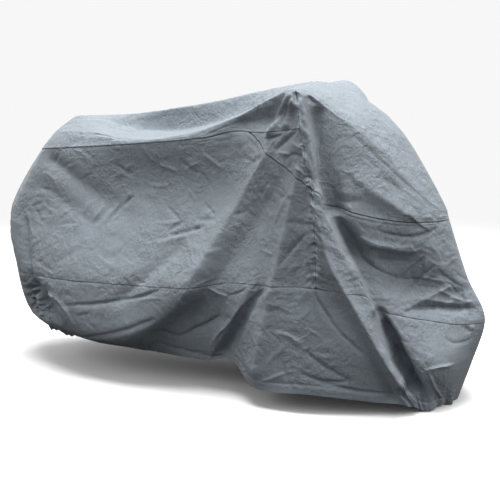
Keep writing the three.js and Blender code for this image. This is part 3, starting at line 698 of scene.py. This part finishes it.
crown_along = panel_grid(RIB["tail"], RIB["bar"])
crown_edge = np.where(crown_along < RIB["tank"], LEVEL["seam"], gusset_upper(crown_along))
across = np.linspace(-1, 1, 2 * CROWN_ROWS + 1)
across_side = np.where(across < 0, -1.0, 1.0)
crown_down = np.abs(across) * crown_edge[:, None]
# Sewn edges: depth of the puckers, height of the lap, strength of the groove; the strength also sets the
# width of the painted seam shade.
CROWN_SEWN = {"upper": (0.0009, 0.0026, 0.5), "lower": (0.0009, 0.0026, 0.5),
              "end": (bar_pucker(crown_down), 0.0, 0.3)}
crown = sewn_panel("crown_cloth", crown_along, crown_down, across_side + 0 * crown_down, CROWN_SEWN, 100,
                   CROWN_SIDE, CROWN_PLAN, "start")
finish_panel(crown, "crown_panel")

# Hood panel: the piece over the bars and down to the nose, cut for both sides in one. It is sewn
# to the crown over the bars, and a felled seam with two rows of stitches joins it to the front
# side panels.
HOOD_PLAN = packing_creases(5, 60, (0.30, -0.36), (0.80, 0.36))
HOOD_SIDE = {
    "right": (
        ((0.364, 1.232), (0.388, 1.200), 0.0, 0.007, -0.012, 0.2),
        ((0.340, 1.236), (0.402, 0.930), 0.0, 0.006, 0.007, 0.2),
        ((0.400, 0.960), (0.450, 0.860), 0.0, 0.007, -0.007, 0.2),
        ((0.500, 1.090), (0.730, 0.848), 0.0, 0.006, -0.0045, 0.3),
        ((0.452, 0.846), (0.552, 0.842), 0.005, 0.007, -0.008, 0.3),
        ((0.480, 0.868), (0.560, 0.858), -0.004, 0.007, 0.005, 0.3),
        ((0.456, 0.826), (0.520, 0.810), 0.0, 0.006, 0.007, 0.3),
        ((0.405, 0.960), (0.440, 0.880), 0.0, 0.008, 0.006, 0.3),
        ((0.600, 0.930), (0.690, 0.850), -0.006, 0.008, -0.004, 0.3),
    ),
    "left": (
        ((0.510, 1.085), (0.735, 0.845), 0.0, 0.006, -0.0045, 0.3),
        ((0.460, 0.850), (0.560, 0.835), 0.005, 0.007, -0.007, 0.3),
        ((0.480, 0.880), (0.570, 0.862), -0.004, 0.007, 0.005, 0.3),
    ),
}
hood_along = panel_grid(RIB["bar"], RIB["nose"])
hood_down = np.abs(across) * LEVEL["seam"] + 0 * hood_along[:, None]
HOOD_SEWN = {"upper": (0.0012, 0.0024, 1.0), "lower": (0.0012, 0.0024, 1.0),
             "start": (bar_pucker(hood_down), 0.0, 0.3)}
hood = sewn_panel("hood_cloth", hood_along, hood_down, across_side + 0 * hood_down, HOOD_SEWN, 200,
                  HOOD_SIDE, HOOD_PLAN, "end")
finish_panel(hood, "hood_panel")

# Gussets: a small triangle of the same cloth under each bar end, let in between crown and side
# panel so that the cloth can go round the bar. Its lower edge laps over the side panel.
gusset_along = panel_grid(RIB["tank"], RIB["bar"])
gusset_edge = gusset_upper(gusset_along)
GUSSET_ROWS = 48
GUSSET_CREASES = {
    "right": (
        ((0.348, 1.116), (0.226, 1.022), 0.004, 0.010, -0.013, -0.3),
        ((0.177, 1.061), (0.266, 1.090), 0.004, 0.005, -0.006, 0.3),
        ((0.270, 0.991), (0.384, 0.990), -0.024, 0.006, -0.010, 0.2),
        ((0.376, 1.000), (0.394, 0.938), 0.0, 0.005, -0.007, 0.2),
        ((0.240, 1.018), (0.310, 1.008), -0.004, 0.006, 0.006, 0.3),
        ((0.300, 1.060), (0.372, 1.040), 0.004, 0.007, 0.005, 0.3),
        ((0.320, 0.972), (0.372, 0.940), 0.0, 0.006, 0.005, 0.3),
    ),
    "left": (
        ((0.345, 1.112), (0.235, 1.030), -0.004, 0.011, -0.011, -0.3),
        ((0.280, 0.996), (0.386, 0.980), -0.020, 0.006, -0.008, 0.2),
        ((0.190, 1.060), (0.270, 1.084), 0.0, 0.006, -0.005, 0.3),
        ((0.310, 1.050), (0.376, 1.020), 0.004, 0.007, 0.006, 0.3),
    ),
}
GUSSET_SEWN = {"upper": (0.0010, 0.0, 0.8), "lower": (0.0014, 0.0022, 1.5),
               "end": (BAR_PUCKER, 0.0, 0.3)}
gusset_share = np.linspace(0, 1, GUSSET_ROWS + 1)
gusset_down = gusset_edge[:, None] + (LEVEL["seam"] - gusset_edge[:, None]) * gusset_share


def both_sides(stem, along, down, sewn, seed, creases, extra=(0.0, 0.0)):
    """A panel of the right side and its fellow of the left: one cut, with creases of their own."""
    for order, (side_name, side) in enumerate(SIDES):
        piece = sewn_panel(f"{stem}_cloth_{side_name}", along, down, np.full(down.shape, side), sewn,
                           seed + order, {side_name: creases[side_name]}, extra=extra[order])
        finish_panel(piece, f"{stem}_{side_name}")


both_sides("gusset", gusset_along, gusset_down, GUSSET_SEWN, 300, GUSSET_CREASES)

# Rear side panels: the large pieces from the tail to the puckered seam under the bar ends. They
# hang from the crown seam, fall in folds from the bar ends and are joined behind in a centre seam.
SIDE_REAR_CREASES = {
    "right": (
        ((-0.312, 0.630), (-0.090, 0.698), 0.003, 0.0070, -0.0095, 0.2),
        ((-0.306, 0.613), (-0.100, 0.677), 0.003, 0.0080, 0.0045, 0.0),
        ((-0.150, 0.672), (-0.118, 0.692), 0.0, 0.005, -0.005, 0.2),
        ((-0.266, 0.656), (-0.183, 0.716), -0.004, 0.0055, -0.0075, 0.3),
        ((-0.290, 0.760), (-0.212, 0.712), 0.0, 0.0055, -0.0065, 0.3),
        ((-0.335, 0.690), (-0.215, 0.706), 0.004, 0.006, 0.006, 0.3),
        ((-0.490, 0.748), (-0.450, 0.790), 0.0, 0.0065, -0.009, 0.2),
        ((-0.492, 0.752), (-0.545, 0.665), 0.006, 0.006, -0.007, 0.3),
        ((-0.515, 0.752), (-0.568, 0.668), 0.0, 0.006, 0.007, 0.3),
        ((-0.548, 0.744), (-0.602, 0.664), 0.0, 0.006, -0.008, 0.3),
        ((-0.545, 0.676), (-0.500, 0.692), 0.0, 0.005, -0.004, 0.3),
        ((-0.580, 0.740), (-0.622, 0.672), 0.0, 0.006, 0.007, 0.3),
        ((-0.640, 0.760), (-0.672, 0.700), 0.0, 0.006, 0.004, 0.3),
        ((-0.772, 0.498), (-0.640, 0.594), 0.004, 0.006, -0.002, 0.3),
        ((-0.148, 0.719), (-0.048, 0.726), 0.0, 0.0055, -0.0075, 0.3),
        ((-0.108, 0.782), (-0.058, 0.744), 0.0, 0.0055, -0.009, 0.3),
        ((-0.098, 0.742), (-0.062, 0.768), 0.0, 0.0055, 0.007, 0.3),
        ((0.374, 0.718), (0.257, 0.576), 0.004, 0.0055, -0.008, 0.3),
        ((0.364, 0.632), (0.403, 0.490), -0.004, 0.0055, -0.008, 0.2),
        ((0.170, 0.640), (0.235, 0.622), 0.0, 0.005, 0.003, 0.3),
        ((0.290, 0.560), (0.330, 0.600), 0.0, 0.006, 0.004, 0.3),
        ((0.230, 0.930), (0.140, 0.780), 0.010, 0.006, -0.004, 0.3),
        ((0.290, 0.860), (0.215, 0.690), 0.006, 0.006, 0.004, 0.3),
        ((-0.800, 0.965), (-0.842, 0.900), 0.0, 0.006, -0.006, 0.3),
        ((-0.960, 0.690), (-0.925, 0.600), 0.006, 0.006, 0.007, 0.4),
        ((-0.930, 0.720), (-0.880, 0.650), 0.0, 0.007, -0.005, 0.3),
        ((-0.880, 0.870), (-0.820, 0.840), 0.0, 0.006, 0.005, 0.3),
        ((-0.905, 0.800), (-0.850, 0.790), 0.0, 0.006, -0.005, 0.3),
        ((-0.230, 0.960), (-0.130, 0.900), 0.010, 0.008, -0.005, 0.3),
        ((-0.120, 0.985), (-0.020, 0.930), 0.008, 0.008, 0.005, 0.3),
        ((-0.330, 0.930), (-0.240, 0.905), 0.0, 0.007, 0.005, 0.3),
        ((-0.540, 0.930), (-0.450, 0.885), 0.006, 0.007, -0.005, 0.3),
    ) + packing_creases(11, 120, (-1.0, 0.45), (0.40, 1.0)),
    "left": (
        ((-0.350, 0.620), (-0.190, 0.690), 0.004, 0.006, -0.010, 0.2),
        ((-0.560, 0.780), (-0.500, 0.740), 0.0, 0.006, -0.010, 0.2),
        ((-0.700, 0.560), (-0.540, 0.650), 0.008, 0.006, -0.005, 0.3),
        ((0.340, 0.700), (0.270, 0.560), 0.006, 0.006, -0.007, 0.3),
        ((0.030, 0.760), (0.100, 0.700), 0.0, 0.006, 0.005, 0.3),
        ((-0.930, 0.720), (-0.880, 0.640), 0.0, 0.007, -0.006, 0.3),
        ((-0.260, 0.950), (-0.160, 0.890), 0.008, 0.008, -0.005, 0.3),
    ) + packing_creases(12, 120, (-1.0, 0.45), (0.40, 1.0)),
}
rear_along = panel_grid(RIB["tail"], RIB["bar"])
rear_down = panel_grid(LEVEL["seam"], LEVEL["low"]) + 0 * rear_along[:, None]
# Under the gusset's lapped edge the groove is at full depth and the painted shadow on the panel reaches four
# times as far; behind the tank the groove is half as deep and the painted shade reaches half as far.
lap_groove_and_shadow = np.where(rear_along > RIB["tank"], 4.0, 0.5)[:, None]  # the gusset's edge lies over the panel
REAR_SEWN = {"upper": (0.0009, -0.0008, lap_groove_and_shadow), "lower": (0.0012, 0.0014, 0.6),
             "start": (0.0008, 0.0, 0.6), "end": (BAR_PUCKER, 0.0, 0.3)}
both_sides("side_rear", rear_along, rear_down, REAR_SEWN, 400, SIDE_REAR_CREASES)

# Front side panels: the pieces from the puckered seam to the nose. They hang from the felled seam
# of the hood in slack swags and fold under themselves behind the fork.
SIDE_FRONT_CREASES = {
    "right": (
        ((0.610, 0.722), (0.812, 0.716), 0.030, 0.008, -0.010, 0.2),
        ((0.540, 0.706), (0.735, 0.652), 0.020, 0.010, 0.008, 0.2),
        ((0.585, 0.655), (0.700, 0.622), 0.010, 0.008, -0.006, 0.2),
        ((0.610, 0.640), (0.770, 0.640), 0.014, 0.007, 0.004, 0.2),
        ((0.535, 0.622), (0.670, 0.517), 0.004, 0.009, -0.011, 0.2),
        ((0.662, 0.519), (0.760, 0.513), 0.006, 0.007, -0.007, 0.2),
        ((0.540, 0.690), (0.750, 0.634), 0.016, 0.020, 0.012, 0.0),
        ((0.600, 0.606), (0.770, 0.588), 0.010, 0.034, -0.016, 0.0),
        ((0.720, 0.402), (0.868, 0.484), 0.0, 0.015, 0.014, 0.0),
        ((0.772, 0.614), (0.664, 0.516), 0.0, 0.005, 0.008, 0.2),
        ((0.808, 0.570), (0.694, 0.437), 0.004, 0.006, -0.010, 0.3),
        ((0.814, 0.558), (0.936, 0.455), 0.006, 0.006, -0.008, 0.3),
        ((0.790, 0.655), (0.826, 0.590), 0.0, 0.006, 0.005, 0.3),
        ((0.712, 0.396), (0.852, 0.404), -0.003, 0.009, -0.012, 0.2),
        ((0.828, 0.405), (0.955, 0.393), 0.003, 0.009, -0.012, 0.2),
        ((0.820, 0.470), (0.920, 0.425), 0.006, 0.007, 0.007, 0.3),
        ((0.850, 0.500), (0.905, 0.440), 0.0, 0.006, -0.006, 0.3),
        ((0.860, 0.440), (0.955, 0.415), 0.004, 0.006, 0.006, 0.3),
        ((0.905, 0.470), (0.935, 0.390), 0.004, 0.006, -0.010, 0.2),
        ((0.930, 0.450), (0.950, 0.370), 0.0, 0.006, 0.009, 0.2),
    ) + packing_creases(21, 70, (0.42, 0.35), (0.98, 0.80), 0.12),
    "left": (
        ((0.600, 0.728), (0.812, 0.712), 0.034, 0.008, -0.009, 0.2),
        ((0.540, 0.700), (0.780, 0.664), 0.026, 0.011, 0.010, 0.2),
        ((0.560, 0.660), (0.770, 0.625), 0.020, 0.009, -0.008, 0.2),
        ((0.700, 0.460), (0.800, 0.590), 0.0, 0.006, 0.005, 0.3),
        ((0.800, 0.600), (0.890, 0.470), 0.0, 0.006, -0.006, 0.3),
        ((0.730, 0.402), (0.950, 0.394), 0.004, 0.009, -0.011, 0.2),
    ) + packing_creases(22, 70, (0.42, 0.35), (0.98, 0.80), 0.12),
}
FELLED_BAND = 0.018  # width of the felled seam, down to its second row of stitches
front_along = panel_grid(RIB["bar"], RIB["nose"])
front_down = panel_grid(LEVEL["seam"], LEVEL["low"]) + 0 * front_along[:, None]
BAND_RISE = 0.0010  # a doubled band of cloth stands up by this much


def stitched_band(away, width, depth, groove):
    """Relief of a doubled band along an edge: raised up to its width, where its stitches press in
    a groove, a bell curve of the given depth and half-width."""
    return -depth * np.exp(-(((away - width) / groove) ** 2)) + BAND_RISE * (away < width)


felled = stitched_band(front_down - LEVEL["seam"], FELLED_BAND, 0.0024, 0.0035)
FRONT_SEWN = {"upper": (0.0012, 0.0, 1.0), "lower": (0.0012, 0.0014, 0.6),
              "start": (BAR_PUCKER, 0.0, 0.3), "end": (0.0008, 0.0, 0.6)}
both_sides("side_front", front_along, front_down, FRONT_SEWN, 500, SIDE_FRONT_CREASES,
           (felled, felled))

# Skirts: the lowest pieces, one for each side, with a turned hem. An elastic cord inside the hem
# gathers them at the tail and at the nose.
SKIRT_CREASES = {
    "right": (
        ((-0.728, 0.324), (-0.400, 0.386), 0.004, 0.006, -0.010, 0.2),
        ((-0.430, 0.378), (-0.243, 0.449), 0.008, 0.006, -0.009, 0.2),
        ((-0.912, 0.398), (-0.780, 0.350), 0.004, 0.008, 0.012, 0.3),
        ((-0.940, 0.388), (-0.800, 0.268), 0.010, 0.020, -0.034, 0.0),
        ((-0.950, 0.350), (-0.865, 0.262), 0.0, 0.007, 0.014, 0.2),
        ((-0.905, 0.352), (-0.880, 0.270), 0.0, 0.007, -0.014, 0.2),
        ((-0.868, 0.350), (-0.800, 0.300), 0.0, 0.006, 0.010, 0.2),
        ((-0.840, 0.300), (-0.770, 0.225), 0.0, 0.007, -0.014, 0.2),
        ((-0.800, 0.358), (-0.672, 0.240), -0.020, 0.008, 0.010, 0.3),
        ((-0.690, 0.168), (-0.470, 0.236), 0.0, 0.010, -0.010, 0.2),
        ((-0.490, 0.230), (-0.276, 0.320), 0.004, 0.010, -0.012, 0.2),
        ((-0.320, 0.252), (-0.195, 0.222), 0.008, 0.009, -0.011, 0.2),
        ((-0.212, 0.222), (-0.008, 0.346), 0.004, 0.010, -0.014, 0.2),
        ((-0.350, 0.174), (-0.110, 0.148), 0.006, 0.008, -0.011, 0.2),
        ((-0.130, 0.150), (0.004, 0.151), 0.0, 0.008, -0.009, 0.2),
        ((0.196, 0.492), (0.020, 0.290), 0.012, 0.006, 0.008, 0.3),
        ((0.051, 0.333), (-0.062, 0.208), 0.006, 0.006, 0.008, 0.3),
        ((-0.055, 0.459), (0.024, 0.428), 0.004, 0.006, 0.007, 0.3),
        ((0.020, 0.430), (0.122, 0.484), 0.006, 0.005, -0.006, 0.3),
        ((-0.660, 0.285), (-0.585, 0.310), 0.0, 0.006, -0.005, 0.3),
        ((0.255, 0.322), (0.362, 0.282), -0.010, 0.006, 0.006, 0.3),
        ((0.210, 0.190), (0.302, 0.287), 0.0, 0.006, 0.005, 0.3),
        ((0.178, 0.110), (0.292, 0.162), 0.0, 0.006, 0.005, 0.3),
        ((0.370, 0.266), (0.545, 0.148), 0.008, 0.007, -0.009, 0.2),
        ((0.350, 0.174), (0.548, 0.148), 0.020, 0.007, -0.009, 0.2),
        ((0.430, 0.138), (0.672, 0.094), 0.006, 0.006, -0.007, 0.3),
        ((0.400, 0.500), (0.526, 0.320), 0.008, 0.005, -0.008, 0.2),
        ((0.505, 0.338), (0.592, 0.260), 0.0, 0.005, -0.008, 0.2),
        ((0.640, 0.370), (0.776, 0.085), 0.0, 0.010, -0.032, 0.0),
        ((0.806, 0.184), (0.906, 0.196), -0.003, 0.006, 0.010, 0.3),
        ((0.822, 0.182), (0.862, 0.040), 0.004, 0.007, 0.010, 0.3),
        ((0.865, 0.296), (0.962, 0.279), 0.018, 0.006, -0.008, 0.2),
        ((0.925, 0.380), (0.950, 0.300), 0.004, 0.006, -0.010, 0.2),
        ((0.945, 0.370), (0.962, 0.310), 0.0, 0.006, 0.008, 0.2),
    ) + packing_creases(31, 100, (-1.0, 0.08), (0.95, 0.44)),
    "left": (
        ((-0.720, 0.300), (-0.380, 0.380), 0.010, 0.007, -0.010, 0.2),
        ((-0.400, 0.230), (-0.160, 0.300), 0.006, 0.010, -0.012, 0.2),
        ((0.300, 0.340), (0.400, 0.240), 0.0, 0.008, 0.009, 0.3),
        ((0.420, 0.430), (0.560, 0.280), 0.012, 0.006, -0.009, 0.2),
        ((0.050, 0.330), (0.120, 0.200), 0.0, 0.009, -0.008, 0.3),
        ((0.350, 0.180), (0.560, 0.140), 0.014, 0.007, -0.009, 0.2),
        ((0.830, 0.190), (0.905, 0.200), -0.003, 0.006, 0.009, 0.3),
    ) + packing_creases(32, 100, (-1.0, 0.08), (0.95, 0.44)),
}
HEM_BAND = 0.034  # height of the turned hem up to its row of stitches
ELASTIC_DEPTH = 0.0085
ELASTIC_PITCH = 0.031
ELASTIC_RISE = 0.115  # the gathers of the elastic fade out over this height above the hem
TAIL_GATHER = 0.26  # they fade out over this distance from the tail
PLEAT_GATHER = 2.2  # they are deeper by this much at the foot of the rolled pleat
PLEAT_REACH = 0.060
PLEAT_FOOT = RIB["pleat"] + 0.015
HOLLOW_DEPTH = 0.036  # the elastic draws the corner of the tail in
HOLLOW_CRUMPLE = 0.026
HOLLOW_SIZE = (0.075, 0.078)
HOLLOW_MIDDLE = (0.55 * RIB["corner"] + 0.45 * RIB["rack"], 0.35 * LEVEL["low"] + 0.65 * LEVEL["roll"])
skirt_along = panel_grid(RIB["tail"], RIB["nose"])
skirt_place = skirt_along[:, None]
skirt_down = panel_grid(LEVEL["low"], LEVEL["hem"]) + 0 * skirt_place
above_hem = LEVEL["hem"] - skirt_down
hem_relief = stitched_band(above_hem, HEM_BAND, 0.0026, 0.0040)
gathered = np.clip(1.4 - skirt_place / TAIL_GATHER, 0, 1)
gathered = gathered + PLEAT_GATHER * np.exp(-(((skirt_place - PLEAT_FOOT) / PLEAT_REACH) ** 2))
elastic = ELASTIC_DEPTH * np.clip(1 - above_hem / ELASTIC_RISE, 0, 1) * gathered
hollow_along = (skirt_place - HOLLOW_MIDDLE[0]) / HOLLOW_SIZE[0]
hollow_down = (skirt_down - HOLLOW_MIDDLE[1]) / HOLLOW_SIZE[1]
hollow = np.exp(-(hollow_along**4) - hollow_down**4)
SKIRT_SEWN = {"upper": (0.0012, 0.0, 0.6), "start": (0.0008, 0.0, 0.6), "end": (0.0008, 0.0, 0.6)}


def skirt_relief(seed):
    """Turned hem, plus sine stripes of the elastic that drift and are uneven, plus the hollow of the
    tail, crumpled by noise that lies at a slant."""
    drift = value_noise(skirt_place / 0.06, above_hem / 0.05, seed + 50)
    stripes = np.sin(2 * np.pi * skirt_place / ELASTIC_PITCH + 3 * drift) * (0.7 + 0.5 * drift)
    crumple = value_noise((skirt_place + skirt_down) / 0.020, (skirt_down - skirt_place) / 0.030, seed + 60)
    return hem_relief + elastic * stripes + hollow * (HOLLOW_CRUMPLE * crumple - HOLLOW_DEPTH)


both_sides("skirt", skirt_along, skirt_down, SKIRT_SEWN, 600, SKIRT_CREASES,
           (skirt_relief(600), skirt_relief(601)))

# Stage: a plain pale floor that runs out into white, a large softbox above, two weaker ones at the
# left of the camera and at the nose, and the camera at the height and angle of the photograph.
FLOOR_LEVEL = cad_box[0][2] - 0.001
FLOOR_REACH = 30.0
FLOOR_PALE = (0.80, 0.80, 0.80, 1.0)
FLOOR_BOUNCE = (0.03, 0.03, 0.03, 1.0)  # the floor throws little light back up
BACKDROP = (0.93, 0.93, 0.93, 1.0)
FLOOR_FADE = (1.6, 4.5)  # distances between which the floor runs out into white
FLOOR_TURN = ((-1, -1), (1, -1), (1, 1), (-1, 1))
floor_corners = [(FLOOR_REACH * x, FLOOR_REACH * y, FLOOR_LEVEL) for x, y in FLOOR_TURN]
floor_mesh = bpy.data.meshes.new("floor")
floor_mesh.from_pydata(floor_corners, [], [(0, 1, 2, 3)])
floor = bpy.data.objects.new("floor", floor_mesh)
bpy.context.scene.collection.objects.link(floor)
floor_paint = bpy.data.materials.new("floor_paint")
floor_paint.use_nodes = True
tree = floor_paint.node_tree
tree.nodes.remove(tree.nodes["Principled BSDF"])
seen = node(tree, "ShaderNodeLightPath")
pale = node(tree, "ShaderNodeBsdfDiffuse", [("Color", FLOOR_PALE)]).outputs[0]
bounce = node(tree, "ShaderNodeBsdfDiffuse", [("Color", FLOOR_BOUNCE)]).outputs[0]
white = node(tree, "ShaderNodeEmission", [("Color", BACKDROP)]).outputs[0]
place = node(tree, "ShaderNodeTexCoord").outputs["Object"]
away = node(tree, "ShaderNodeVectorMath", [(0, place)], operation="LENGTH").outputs["Value"]
far = ramp(tree, away, FLOOR_FADE, (0.0, 1.0), "SMOOTHSTEP")
shown = node(tree, "ShaderNodeMixShader", [(0, far), (1, pale), (2, white)]).outputs[0]
both = node(tree, "ShaderNodeMixShader", [(0, seen.outputs["Is Camera Ray"]), (1, bounce), (2, shown)])
tree.links.new(both.outputs[0], tree.nodes["Material Output"].inputs["Surface"])
floor_mesh.materials.append(floor_paint)

studio = bpy.data.worlds.new("studio")
studio.use_nodes = True
tree = studio.node_tree
seen = node(tree, "ShaderNodeLightPath")
glow = ramp(tree, seen.outputs["Is Camera Ray"], (0.0, 1.0), (0.80, 0.93))
tree.nodes["Background"].inputs["Color"].default_value = (1.0, 1.0, 1.0, 1.0)
tree.links.new(glow, tree.nodes["Background"].inputs["Strength"])
bpy.context.scene.world = studio
LIGHT_AIM = Vector((0.15, 0.0, -0.576))
for name, place, power, size in (
    ("softbox_above", (0.15, -0.30, 6.5), 1220.0, 5.0),
    ("softbox_left", (-3.2, -4.2, 2.6), 60.0, 2.5),
    ("softbox_front", (5.2, -0.6, 2.8), 130.0, 3.0),
):
    lamp = bpy.data.lights.new(name, "AREA")
    lamp.energy = power
    lamp.size = size
    lamp_object = bpy.data.objects.new(name, lamp)
    lamp_object.location = place
    lamp_object.rotation_euler = (LIGHT_AIM - Vector(place)).to_track_quat("-Z", "Y").to_euler()
    bpy.context.scene.collection.objects.link(lamp_object)

CAMERA_AIM = Vector((0.15, 0.0, -0.626))
CAMERA_DISTANCE = 4.3
AZIMUTH, ELEVATION = np.radians(20.0), np.radians(12.0)
level = np.cos(ELEVATION)
back = Vector((np.sin(AZIMUTH) * level, -np.cos(AZIMUTH) * level, np.sin(ELEVATION)))
camera = bpy.data.cameras.new("camera")
camera.sensor_width = 36.0
camera.lens = 72.36
camera_object = bpy.data.objects.new("camera", camera)
camera_object.location = CAMERA_AIM + back * CAMERA_DISTANCE
camera_object.rotation_euler = back.to_track_quat("Z", "Y").to_euler()
bpy.context.scene.collection.objects.link(camera_object)
bpy.context.scene.camera = camera_object
bpy.context.scene.view_settings.view_transform = "Standard"
